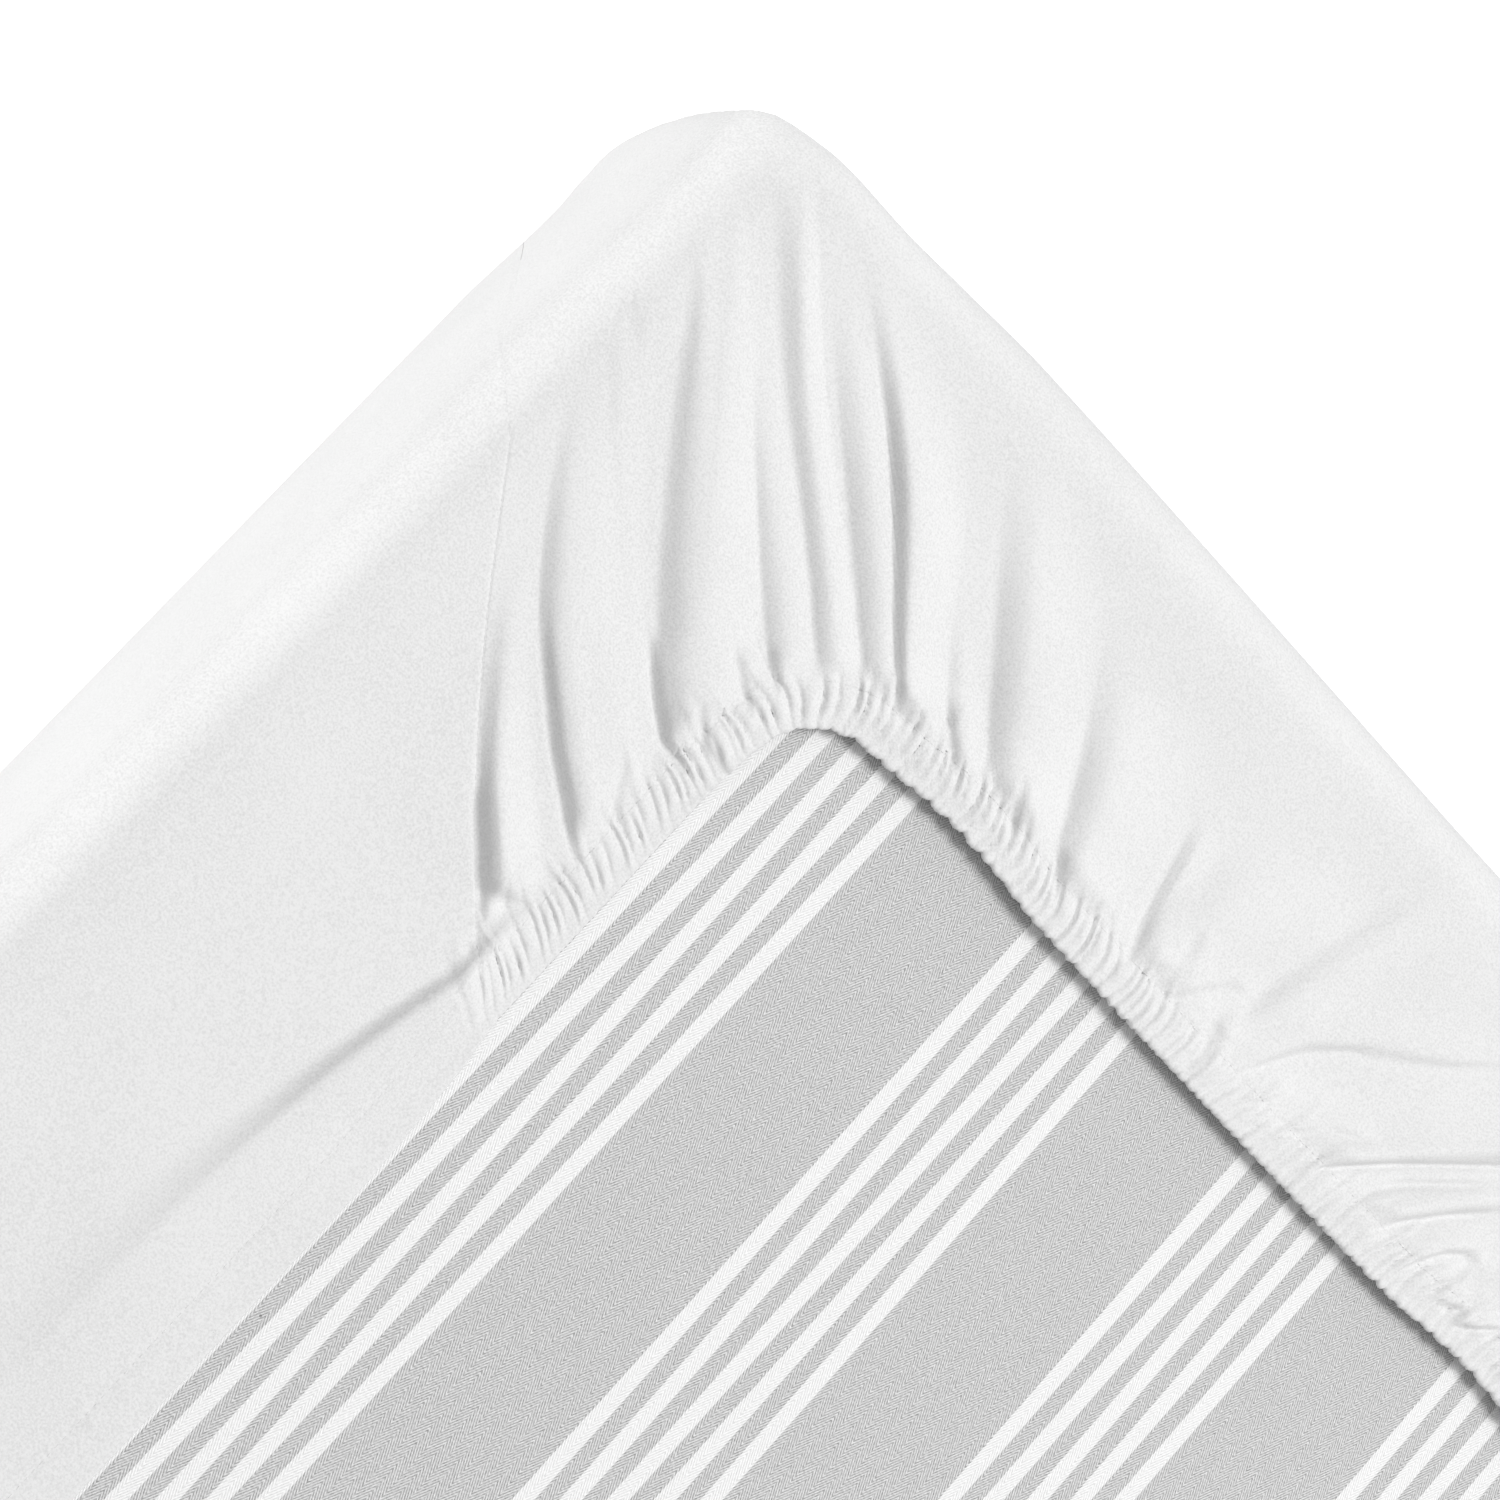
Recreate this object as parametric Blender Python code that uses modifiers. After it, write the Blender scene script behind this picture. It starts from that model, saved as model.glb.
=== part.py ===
"""Fitted sheet on a mattress that lies face down, so that the hem and the folds of the underside face up.

X runs across the width, Y along the length and Z up; the origin is at the centre of the face it rests on.
The corner with the deepest gathers is at -X, +Y.
"""
import math

import bmesh
import bpy
from mathutils import Vector

# Mattress
MATTRESS_WIDTH = 0.600
MATTRESS_LENGTH = 1.200
MATTRESS_THICKNESS = 0.120
MATTRESS_CORNER = 0.0380        # plan radius of the four corners
MATTRESS_EDGE = 0.019           # radius of the long edges, top and bottom
CORNER_SEGMENTS = 6
EDGE_SEGMENTS = 3
EDGE_LIMIT = 40                 # degrees: edges sharper than this are rounded

# Cloth
CLOTH = 0.0015                  # thickness of the sheet
EDGE_CLEARANCE = 0.002          # cloth to the mattress at its walls and edges
FACE_CLEARANCE = 0.0004         # cloth to the mattress on its two broad faces
CORNER_RADIUS = 0.041           # plan radius of the dressed corners
EDGE_RADIUS = 0.018             # radius of the dressed edges
WALL_BULGE = 0.002              # how far the walls stand out at half height

# Underside flaps and the opening inside the hem
FLAP_SIDE = 0.131               # wall to hem, on the long sides
FLAP_END = 0.1185               # wall to hem, on the short ends
HEM_CORNER = 0.019              # radius of the opening's corners
SEAM_AT_HEM = 0.254             # corner seam to the short end, measured at the hem
SEAM_AT_EDGE = 0.130            # corner seam to the short end, measured at the wall

# Spacing of the columns along the hem
FINE_STEP = 0.0062
MIDDLE_STEP = 0.0083
COARSE_STEP = 0.0140
FINE_END = 0.400                # the fine columns run this far from the first seam

PROUD = CLOTH + EDGE_CLEARANCE
HALF_WIDTH = MATTRESS_WIDTH / 2 + PROUD
HALF_LENGTH = MATTRESS_LENGTH / 2 + PROUD
FACE_HEIGHT = CLOTH + FACE_CLEARANCE + MATTRESS_THICKNESS      # the mattress's upper face
FLAP_HEIGHT = FACE_HEIGHT + FACE_CLEARANCE + CLOTH             # the cloth lying flat on it

# How the cloth fans out between the hem and the wall, in millimetres. hem: place along the hem from the first
# corner seam; edge: place along the wall from the same seam; bow: sideways bend of the line halfway.
FAN_COLUMNS = ("hem", "edge", "bow")
FAN = [
    (0, 0, -5),
    (42, 22, -11),
    (72, 45, -4),
    (84, 71, -8),
    (116, 96, 0),
    (129, 122, 0),
    (146, 140, 0),
    (161, 158, 5),
    (181, 197, 2),
    (197, 225, 0),
    (221, 267, 6),
    (252, 348, 3),
    (270, 421, -3),
    (285, 500, -8),
    (321, 542, -2),
    (348, 556, 0),
    (368, 572, 0),
    (382, 606, -6),
    (416, 640, -3),
    (436, 674, -5),
    (451, 691, 0),
    (468, 710, 0),
    (481, 736, 0),
    (513, 761, 6),
    (525, 787, 4),
    (555, 810, 9),
]
LAST_BOW = 5                    # at the second seam, where the last row is worked out from the sizes

# Main folds of a gathered end. hem: place of the crest along the hem from the first seam; start and end: where
# the fold runs along the line from the wall (0) to the hem (1); height: of its crest; rise and fall: widths of
# its steep flank and of its gentle one; all but start and end in millimetres. side: +1 with the steep flank
# towards the first seam, -1 with it towards the second.
FOLD_COLUMNS = ("hem", "start", "end", "height", "rise", "fall", "side")
FOLDS = [
    (8, 0.16, 0.86, 5.0, 7, 22, 1),
    (46, 0.02, 0.92, 4.6, 6, 20, 1),
    (75, 0.05, 0.60, 1.4, 6, 10, 1),
    (88, 0.00, 0.93, 6.0, 7, 18, 1),
    (119, 0.12, 0.97, 3.2, 5, 9, 1),
    (132, 0.00, 0.97, 3.4, 5, 9, 1),
    (149, 0.15, 0.98, 3.2, 5, 9, 1),
    (164, 0.00, 0.96, 6.0, 5, 15, 1),
    (184, 0.50, 0.95, 2.0, 5, 9, 1),
    (200, 0.04, 0.95, 4.6, 6, 14, 1),
    (224, 0.20, 0.95, 3.6, 6, 16, 1),
    (255, 0.25, 0.95, 2.6, 6, 12, 1),
    (266, 0.15, 0.92, 1.8, 6, 12, -1),
    (281, 0.20, 0.95, 2.4, 6, 12, -1),
    (317, 0.06, 0.95, 4.2, 7, 15, -1),
    (345, 0.15, 0.95, 3.0, 6, 12, -1),
    (364, 0.30, 0.95, 2.4, 5, 10, -1),
    (379, 0.20, 0.95, 3.4, 5, 12, -1),
    (413, 0.10, 0.95, 3.0, 5, 12, -1),
    (433, 0.00, 0.96, 5.2, 5, 15, -1),
    (448, 0.15, 0.98, 2.8, 5, 9, -1),
    (465, 0.00, 0.97, 3.4, 5, 9, -1),
    (478, 0.12, 0.97, 3.0, 5, 9, -1),
    (508, 0.00, 0.93, 5.6, 7, 18, -1),
    (552, 0.02, 0.92, 4.2, 6, 20, -1),
    (589, 0.16, 0.86, 4.6, 7, 22, -1),
]

FOLD_FADE_IN = 0.30             # share of the line over which a fold grows at the wall
FOLD_FADE_OUT = 0.14            # and over which it dies out before the hem

# Ridge that runs from each corner seam along the plain hem, where the cloth is pulled. from_seam: distance along
# the side; from_hem: how far the crest lies from the hem; height and width: of the ridge; all in millimetres.
PULL_COLUMNS = ("from_seam", "from_hem", "height", "width")
PULL = [
    (0, 15, 2.6, 15),
    (40, 22, 2.3, 18),
    (85, 28, 1.4, 22),
    (125, 34, 0.6, 26),
    (160, 38, 0.0, 30),
]

PULL_TO_HEM = 1.2               # the ridge's reach towards the hem, in its widths
PULL_TO_WALL = 0.8              # and towards the wall

# The hem lies close to the mattress along the sides and stands proud of it round the gathered ends
HEM_LIFT_SIDE = 0.0006
HEM_LIFT_END = 0.0032
HEM_LIFT_GROWS = (0.090, 0.145)     # from the seam: where the lift starts to grow and where it is full
HEM_LIFT_FROM = (0.70, 0.93)        # along the line to the hem: where the lift starts and where it is full
HEM_BAND = 0.0008                   # the turned hem is thicker than the rest of the cloth
HEM_BAND_EDGES = (0.90, 0.93, 0.97, 1.0)

# Plain sides
SIDE_STEPS = (0.012, 0.030, 0.055, 0.090, 0.140, 0.230)        # columns, from each seam
SIDE_FAN_END = 0.200            # the columns run square to the wall from here on
SIDE_BOW = 0.005
SIDE_BOW_END = 0.120

# Rows of each column
ARC_STEPS = 3
FLAP_ROWS = (0.13, 0.28, 0.43, 0.58, 0.71, 0.82, 0.905, 0.955, 1.0)
FLAP_SETTLES = 0.35             # share of the line over which the cloth comes down from the edge on to the face

SHEET_COLOUR = (0.86, 0.86, 0.86, 1.0)
MATTRESS_COLOUR = (0.56, 0.56, 0.56, 1.0)


def clear_scene():
    for thing in list(bpy.data.objects):
        bpy.data.objects.remove(thing, do_unlink=True)


def material(name, colour, roughness):
    made = bpy.data.materials.new(name)
    made.use_nodes = True
    shader = made.node_tree.nodes["Principled BSDF"]
    shader.inputs["Base Color"].default_value = colour
    shader.inputs["Roughness"].default_value = roughness
    shader.inputs["Metallic"].default_value = 0.0
    return made


def smooth(low, high, value):
    """0 below low, 1 above high and a soft step between."""
    part = min(max((value - low) / (high - low), 0.0), 1.0)
    return part * part * (3 - 2 * part)


def read_table(rows, place):
    """The row of a table at a place in its first column, worked out between its rows."""
    if place <= rows[0][0]:
        return rows[0]
    for low, high in zip(rows, rows[1:]):
        if place <= high[0]:
            part = (place - low[0]) / (high[0] - low[0])
            return tuple(a + (b - a) * part for a, b in zip(low, high))
    return rows[-1]


def along_corner(distance, reach, corner, half_width, half_length):
    """Point and outward normal on half of a rounded rectangle, from -X to +X round its +Y end.

    distance starts at the place that lies reach below the end on the -X side.
    """
    straight = reach - corner
    turn = corner * math.pi / 2
    across = 2 * (half_width - corner)
    if distance > straight + turn + across / 2:
        total = 2 * straight + 2 * turn + across
        point, normal = along_corner(total - distance, reach, corner, half_width, half_length)
        return Vector((-point.x, point.y)), Vector((-normal.x, normal.y))
    if distance <= straight:
        return Vector((-half_width, half_length - reach + distance)), Vector((-1, 0))
    if distance <= straight + turn:
        angle = (distance - straight) / corner
        normal = Vector((-math.cos(angle), math.sin(angle)))
        centre = Vector((-half_width + corner, half_length - corner))
        return centre + normal * corner, normal
    run = distance - straight - turn
    return Vector((-half_width + corner + run, half_length)), Vector((0, 1))


def path_length(reach, corner, half_width):
    return 2 * (reach - corner) + math.pi * corner + 2 * (half_width - corner)


HEM_HALF_WIDTH = HALF_WIDTH - FLAP_SIDE
HEM_HALF_LENGTH = HALF_LENGTH - FLAP_END
HEM_REACH = SEAM_AT_HEM - FLAP_END
HEM_PATH = path_length(HEM_REACH, HEM_CORNER, HEM_HALF_WIDTH)
EDGE_PATH = path_length(SEAM_AT_EDGE, CORNER_RADIUS, HALF_WIDTH)


def end_column(place):
    """A column of the gathered end at +Y, at a place along its hem from the first seam."""
    last_row = (HEM_PATH * 1000, EDGE_PATH * 1000, LAST_BOW)
    fan = dict(zip(FAN_COLUMNS, read_table(FAN + [last_row], place * 1000)))
    edge_place = fan["edge"] / 1000
    hem_point, _ = along_corner(place, HEM_REACH, HEM_CORNER, HEM_HALF_WIDTH, HEM_HALF_LENGTH)
    edge_point, normal = along_corner(edge_place, SEAM_AT_EDGE, CORNER_RADIUS, HALF_WIDTH, HALF_LENGTH)
    return {"hem": hem_point, "edge": edge_point, "normal": normal, "bow": fan["bow"] / 1000,
            "place": place, "from_seam": None}


def side_column(from_seam, side_length):
    """A column of the plain +X side, at a distance from its first corner seam along the hem."""
    nearest = min(from_seam, side_length - from_seam)
    towards = -1 if from_seam < side_length / 2 else 1
    fan_out = SEAM_AT_HEM - SEAM_AT_EDGE
    shift = towards * fan_out * (1 - smooth(0.0, SIDE_FAN_END, nearest))
    hem_point = Vector((HEM_HALF_WIDTH, HALF_LENGTH - SEAM_AT_HEM - from_seam))
    edge_point = Vector((HALF_WIDTH, hem_point.y - shift))
    bow = -towards * SIDE_BOW * (1 - smooth(0.0, SIDE_BOW_END, nearest))
    return {"hem": hem_point, "edge": edge_point, "normal": Vector((1, 0)), "bow": bow,
            "place": None, "from_seam": nearest}


def turned(column):
    """The same column on the other half of the sheet."""
    made = dict(column)
    for key in ("hem", "edge", "normal"):
        made[key] = -column[key]
    return made


def places(length, step):
    count = max(1, round(length / step))
    return [length * index / count for index in range(count)]


def all_columns():
    near = [end_column(place) for place in places(FINE_END, FINE_STEP)]
    near += [end_column(FINE_END + place) for place in places(HEM_PATH - FINE_END, MIDDLE_STEP)]
    far = [turned(end_column(place)) for place in places(HEM_PATH, COARSE_STEP)]
    side_length = 2 * (HALF_LENGTH - SEAM_AT_HEM)
    runs = [0.0, *SIDE_STEPS, side_length / 2]
    runs += [side_length - run for run in reversed(SIDE_STEPS)]
    side = [side_column(run, side_length) for run in runs]
    return near + side + far + [turned(column) for column in side]


def fold_height(place, along):
    """Height of the gathered cloth over the flat flap, at a place along the hem and along the line to it."""
    height = 0.0
    for row in FOLDS:
        fold = dict(zip(FOLD_COLUMNS, row))
        away = (place * 1000 - fold["hem"]) * fold["side"]
        across = smooth(-fold["rise"], 0, away) * (1 - smooth(0, fold["fall"], away))
        grown = smooth(fold["start"], fold["start"] + FOLD_FADE_IN, along)
        left = 1 - smooth(fold["end"] - FOLD_FADE_OUT, fold["end"], along)
        height = max(height, fold["height"] * across * grown * left)
    return height / 1000


def hem_lift(place, along):
    """Extra height of the gathered cloth near the hem."""
    from_seam = min(place, HEM_PATH - place)
    lift = HEM_LIFT_SIDE + (HEM_LIFT_END - HEM_LIFT_SIDE) * smooth(*HEM_LIFT_GROWS, from_seam)
    outer_low, outer_high, inner_high, inner_low = HEM_BAND_EDGES
    band = HEM_BAND * smooth(outer_low, outer_high, along) * (1 - smooth(inner_high, inner_low, along))
    return lift * smooth(*HEM_LIFT_FROM, along) + band


def pull_height(from_seam, to_hem):
    """Height of the pulled ridge beside the plain hem."""
    row = dict(zip(PULL_COLUMNS, read_table(PULL, from_seam * 1000)))
    away = (to_hem * 1000 - row["from_hem"]) / row["width"]
    across = smooth(-PULL_TO_HEM, 0, away) * (1 - smooth(0, PULL_TO_WALL, away))
    return row["height"] * across / 1000


def profile(column):
    """Points of one column of the cloth's outer face, from the resting face up the wall and in to the hem."""
    edge, normal = column["edge"], column["normal"]
    points = []

    def add(inset, height):
        spot = edge - normal * inset
        points.append((spot.x, spot.y, height))

    for step in range(ARC_STEPS + 1):
        angle = math.pi / 2 * step / ARC_STEPS
        inset = EDGE_RADIUS * (1 - math.sin(angle))
        add(inset, EDGE_RADIUS * (1 - math.cos(angle)))
    add(-WALL_BULGE, FLAP_HEIGHT / 2)
    top = FLAP_HEIGHT + EDGE_CLEARANCE - FACE_CLEARANCE       # the cloth is still clear of the edge here
    for step in range(ARC_STEPS + 1):
        angle = math.pi / 2 * step / ARC_STEPS
        inset = EDGE_RADIUS * (1 - math.cos(angle))
        add(inset, top - EDGE_RADIUS * (1 - math.sin(angle)))

    start = edge - normal * EDGE_RADIUS
    run = column["hem"] - start
    sideways = Vector((-run.y, run.x)).normalized()
    for along in FLAP_ROWS:
        spot = start + run * along + sideways * column["bow"] * math.sin(math.pi * along)
        height = top + (FLAP_HEIGHT - top) * smooth(0.0, FLAP_SETTLES, along)
        if column["place"] is None:
            height += pull_height(column["from_seam"], (1 - along) * run.length)
        else:
            height += fold_height(column["place"], along) + hem_lift(column["place"], along)
        points.append((spot.x, spot.y, height))
    return points


def fitted_sheet(collection):
    shape = bmesh.new()
    rings = [[shape.verts.new(point) for point in profile(column)] for column in all_columns()]
    for index, ring in enumerate(rings):
        after = rings[(index + 1) % len(rings)]
        for low in range(len(ring) - 1):
            shape.faces.new((ring[low], after[low], after[low + 1], ring[low + 1]))
    shape.faces.new([ring[0] for ring in reversed(rings)])
    bmesh.ops.recalc_face_normals(shape, faces=shape.faces)
    mesh = bpy.data.meshes.new("fitted_sheet")
    shape.to_mesh(mesh)
    shape.free()
    mesh.shade_smooth()
    sheet = bpy.data.objects.new("fitted_sheet", mesh)
    mesh.materials.append(material("white cotton", SHEET_COLOUR, 0.9))
    collection.objects.link(sheet)
    shell = sheet.modifiers.new("cloth thickness", "SOLIDIFY")
    shell.thickness = CLOTH
    shell.offset = -1.0
    return sheet


def mattress(collection):
    bpy.ops.mesh.primitive_cube_add(size=1.0)
    body = bpy.context.object
    body.name = "mattress"
    body.data.name = "mattress"
    for holder in list(body.users_collection):
        holder.objects.unlink(body)
    collection.objects.link(body)

    shape = bmesh.new()
    shape.from_mesh(body.data)
    bmesh.ops.scale(shape, vec=(MATTRESS_WIDTH, MATTRESS_LENGTH, MATTRESS_THICKNESS), verts=shape.verts)
    upright = [edge for edge in shape.edges if abs(edge.verts[0].co.z - edge.verts[1].co.z) > 0.01]
    bmesh.ops.bevel(shape, geom=upright, offset=MATTRESS_CORNER, segments=CORNER_SEGMENTS, profile=0.5,
                    affect="EDGES")
    shape.to_mesh(body.data)
    shape.free()
    body.location = (0, 0, CLOTH + FACE_CLEARANCE + MATTRESS_THICKNESS / 2)
    rounding = body.modifiers.new("edge rounding", "BEVEL")
    rounding.width = MATTRESS_EDGE
    rounding.segments = EDGE_SEGMENTS
    rounding.limit_method = "ANGLE"
    rounding.angle_limit = math.radians(EDGE_LIMIT)
    body.data.shade_smooth()
    body.data.materials.append(material("grey ticking", MATTRESS_COLOUR, 0.85))
    return body


def build():
    clear_scene()
    collection = bpy.data.collections.new("fitted sheet on mattress")
    bpy.context.scene.collection.children.link(collection)
    mattress(collection)
    fitted_sheet(collection)


build()
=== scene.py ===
import math

import bmesh
import bpy
import numpy as np
from mathutils import Euler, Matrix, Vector


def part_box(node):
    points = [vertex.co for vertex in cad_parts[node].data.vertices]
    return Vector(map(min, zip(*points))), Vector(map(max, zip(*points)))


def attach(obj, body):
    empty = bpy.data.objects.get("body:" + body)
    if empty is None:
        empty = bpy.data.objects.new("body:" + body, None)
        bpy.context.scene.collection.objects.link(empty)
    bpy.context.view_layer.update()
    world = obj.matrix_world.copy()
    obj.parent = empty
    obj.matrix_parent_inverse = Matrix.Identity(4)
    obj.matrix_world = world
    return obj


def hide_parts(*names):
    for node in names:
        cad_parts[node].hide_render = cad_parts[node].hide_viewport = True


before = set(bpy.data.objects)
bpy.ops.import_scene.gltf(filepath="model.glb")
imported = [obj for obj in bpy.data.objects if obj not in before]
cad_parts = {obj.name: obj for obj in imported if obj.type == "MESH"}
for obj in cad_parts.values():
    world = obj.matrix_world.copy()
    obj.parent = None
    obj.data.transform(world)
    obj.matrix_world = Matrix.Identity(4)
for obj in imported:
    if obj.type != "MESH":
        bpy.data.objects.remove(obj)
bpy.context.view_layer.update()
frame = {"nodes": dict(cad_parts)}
mattressLow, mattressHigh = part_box("mattress")
print("frame loaded:", ", ".join(frame["nodes"]))

# The cloth is worked out in millimetres, in the frame of the gathered end at +Y, and turned round for the
# other end. Meshes are made in metres.
millimetre = 0.001

sheet = {
    "cloth": 1.5,               # thickness of the sheet
    "standOff": 3.5,            # outer face of the walls from the mattress
    "edgeClearance": 2.0,       # gap over the mattress where the wall turns into the flap
    "faceClearance": 0.4,       # and under the flap
    "leastHeight": 0.6,         # the flap's outer face stays this far over the mattress
    "levelsOut": 0.35,          # share of the flap over which it comes down to the smaller gap
    "cornerRadius": 41.0,
    "edgeRadius": 18.0,
    "bulge": 2.0,               # how far the walls stand out at half height
    "flapSide": 131.0,          # wall to hem on the long sides
    "flapEnd": 118.5,           # and on the short ends
    "hemCorner": 19.0,
    "seamAtHem": 254.0,         # corner seam to the short end, at the hem
    "seamAtEdge": 130.0,        # and at the top of the wall
    "seamDepth": 0.25,          # of the groove along the seam
    "seamWidth": 0.8,
    "seamFades": (2.0, 12.0),   # over these distances from the hem
    "seamSlant": 0.9,           # how much the seam leans to the corner for each millimetre down the wall
    "seamSlantMost": 105.0,
    "slantFadesEnd": 0.45,      # share of the end's wall over which the cloth beside the seam leans with it
    "slantFadesSide": 260.0,    # and the distance on the long sides
    "flatSize": (1.11, 1.69),   # cut size in metres, hem turns included
    "flatArea": 1.62,           # in square metres, less the four corners cut away
}
halfWidth = mattressHigh[0] / millimetre + sheet["standOff"]
halfLength = mattressHigh[1] / millimetre + sheet["standOff"]
faceHeight = mattressHigh[2] / millimetre
flapHeight = faceHeight + sheet["faceClearance"] + sheet["cloth"]
edgeTop = faceHeight + sheet["edgeClearance"] + sheet["cloth"]
hemHalfWidth = halfWidth - sheet["flapSide"]
hemHalfLength = halfLength - sheet["flapEnd"]
hemReach = sheet["seamAtHem"] - sheet["flapEnd"]
seamToMiddle = halfLength - sheet["seamAtHem"]      # from a seam to the middle of the side, along the hem


def smooth(low, high, value):
    # 0 below low, 1 above high, a soft step between
    part = np.clip((value - low) / (high - low), 0.0, 1.0)
    return part * part * (3 - 2 * part)


def between(first, second, share):
    return first + (second - first) * share


def readTable(rows, column, at):
    # a smooth curve through one column of a table, with no overshoot
    where = np.array([row[0] for row in rows], float)
    value = np.array([row[column] for row in rows], float)
    gap = np.diff(where)
    slope = np.diff(value) / gap
    grade = np.zeros(len(rows))
    grade[0], grade[-1] = slope[0], slope[-1]
    for i in range(1, len(rows) - 1):
        if slope[i - 1] * slope[i] > 0:
            first, second = 2 * gap[i] + gap[i - 1], gap[i] + 2 * gap[i - 1]
            grade[i] = (first + second) / (first / slope[i - 1] + second / slope[i])
    at = np.clip(at, where[0], where[-1])
    i = np.clip(np.searchsorted(where, at) - 1, 0, len(gap) - 1)
    t = (at - where[i]) / gap[i]
    return (value[i] * (1 + 2 * t) * (1 - t) ** 2 + grade[i] * gap[i] * t * (1 - t) ** 2
            + value[i + 1] * t * t * (3 - 2 * t) + grade[i + 1] * gap[i] * t * t * (t - 1))


def pathLength(reach, corner, width):
    # from one corner seam round an end to the other
    return 2 * (reach - corner) + math.pi * corner + 2 * (width - corner)


hemPath = pathLength(hemReach, sheet["hemCorner"], hemHalfWidth)
edgePath = pathLength(sheet["seamAtEdge"], sheet["cornerRadius"], halfWidth)


def alongEnd(distance, reach, corner, width, length):
    # points and outward normals round the gathered end, from the side at -X to the side at +X
    total = pathLength(reach, corner, width)
    second = distance > total / 2
    run = np.where(second, total - distance, distance)
    straight, turn = reach - corner, corner * math.pi / 2
    angle = np.clip((run - straight) / corner, 0, math.pi / 2)
    across, along = -np.cos(angle), np.sin(angle)
    x = -width + corner + across * corner + np.clip(run - straight - turn, 0, None)
    y = length - corner + along * corner - np.clip(straight - run, 0, None)
    flip = np.where(second, -1.0, 1.0)
    return np.stack((x * flip, y), -1), np.stack((across * flip, along), -1)


mirrorSum = 597         # two mirrored places add up to this, close to the length of the hem round an end


def mirrorRows(rows):
    # a table's rows, and again past the middle of the gathered end
    return rows + [(mirrorSum - row[0], *row[1:]) for row in rows[-2::-1]]


# How far the wall stands out or is drawn in round a corner, by place along the top of the wall.
cornerShape = [
    (45, 0.0),
    (82, -1.5),
    (96, -0.2),
    (105, 2.5),
    (114, 4.5),
    (121, 3.4),
    (129, 0.3),
    (137, -2.2),
    (150, -4.0),
    (170, -4.2),
    (195, -2.6),
    (230, -0.3),
    (280, 0.0),
    (416, -0.8),
]

# How much further out the hem lies where it is gathered, by place along the hem.
hemPulledOut = mirrorRows([
    (-45, 0.0),
    (-6, 2.2),
    (12, 4.4),
    (100, 4.4),
    (108, 4.1),
    (117, 2.9),
    (125, 1.3),
    (136, 0.0),
    (148, 0.5),
    (160, 1.6),
    (172, 3.0),
    (183, 3.5),
    (202, 2.6),
    (216, 1.2),
    (298, 0.6),
])


def hemPlace(x, y):
    # place along the hem that is nearest, the outward normal there and the distance outwards from the hem
    corner = sheet["hemCorner"]
    overX = np.abs(x) - (hemHalfWidth - corner)
    overY = y - (hemHalfLength - corner)
    beyondX, beyondY = np.clip(overX, 0, None), np.clip(overY, 0, None)
    away = np.hypot(beyondX, beyondY) + np.minimum(np.maximum(overX, overY), 0) - corner
    angle = np.where(overX <= 0, math.pi / 2, np.arctan2(beyondY, np.clip(overX, 0.001, None)))
    half = hemReach - corner - np.clip(-overY, 0, None) + corner * angle + np.clip(-overX, 0, None)
    side = np.where(x < 0, -1.0, 1.0)
    place = np.where(x < 0, half, hemPath - half)
    outward = np.stack((side * np.cos(angle), np.sin(angle)), -1)
    return place, outward, away - readTable(hemPulledOut, 1, place)


# How the cloth fans out from the hem to the wall, from the first corner seam.
# hem and edge are places along the hem and along the wall, bow is how far the line bends sideways halfway.
fanColumns = ("hem", "edge", "bow")
fan = [
    (0, 0, -5),
    (42, 22, -11),
    (72, 45, -4),
    (84, 71, -8),
    (116, 96, 0),
    (129, 122, 0),
    (146, 140, 0),
    (161, 158, 5),
    (181, 197, 2),
    (197, 225, 0),
    (221, 267, 6),
    (252, 348, 3),
    (270, 421, -3),
    (285, 500, -8),
    (321, 542, -2),
    (348, 556, 0),
    (368, 572, 0),
    (382, 606, -6),
    (416, 640, -3),
    (436, 674, -5),
    (451, 691, 0),
    (468, 710, 0),
    (481, 736, 0),
    (513, 761, 6),
    (525, 787, 4),
    (555, 810, 9),
    (hemPath, edgePath, 5),
]
sideFan = {
    "reach": 200.0,             # past a seam the lines spread over this distance of the plain hem
    "bow": 5.0,
    "bowReach": 120.0,
}

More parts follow.
